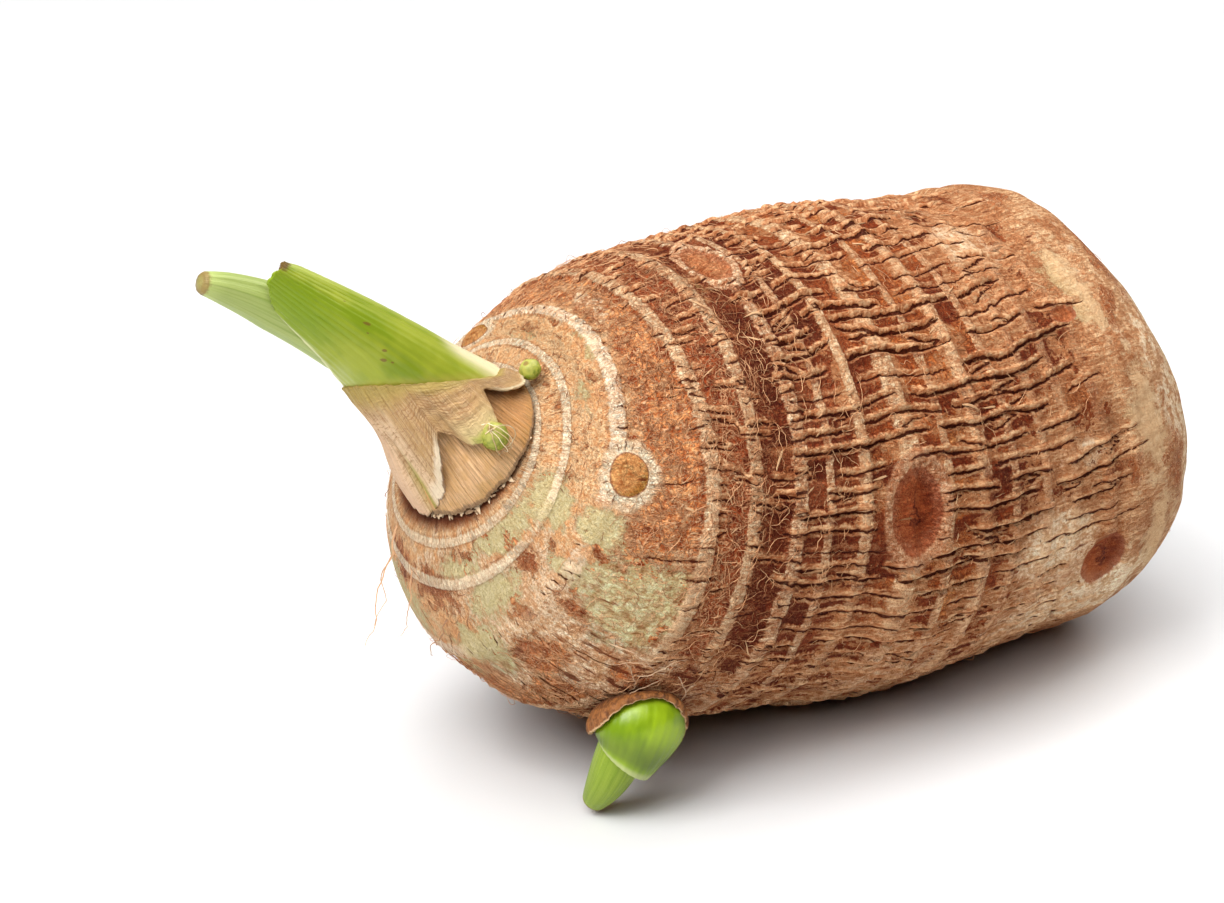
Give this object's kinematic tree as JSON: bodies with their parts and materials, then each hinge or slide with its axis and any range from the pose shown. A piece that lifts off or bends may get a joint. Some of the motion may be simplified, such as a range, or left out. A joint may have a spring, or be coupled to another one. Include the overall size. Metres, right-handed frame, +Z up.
{
  "type": "taro corm",
  "caption": "Whole taro corm lying on its side, ringed with leaf scars, with dry husks and a green shoot at the crown and a small side shoot below.",
  "frame": {"origin": "middle of the part's footprint, on the surface that it lies on", "axes": "+X along the corm toward its root end, -X toward the crown and its shoots, +Z up"},
  "size_m": [0.2262, 0.1046, 0.116],
  "materials": {
    "corm_skin": "dull fibrous brown skin with pale cream leaf scars",
    "dry_husk": "dry papery leaf base, tan with brown fibres",
    "brown_husk": "dry papery scale, orange-brown with a pale rim",
    "shoot_green": "living leaf sheath, waxy yellow-green with darker streaks",
    "leaf_green": "young rolled leaf, waxy light green",
    "bud_green": "small bud, satin yellow-green"
  },
  "bodies": {
    "root": {"corm": "corm_skin", "crown_husk_outer": "dry_husk", "crown_husk_inner": "dry_husk", "shoot_sheath": "shoot_green", "shoot_leaf": "leaf_green", "crown_bud": "bud_green", "crown_bud_low": "bud_green", "side_husk": "brown_husk", "side_sheath": "shoot_green", "side_leaf": "leaf_green"}
  },
  "joints": []
}
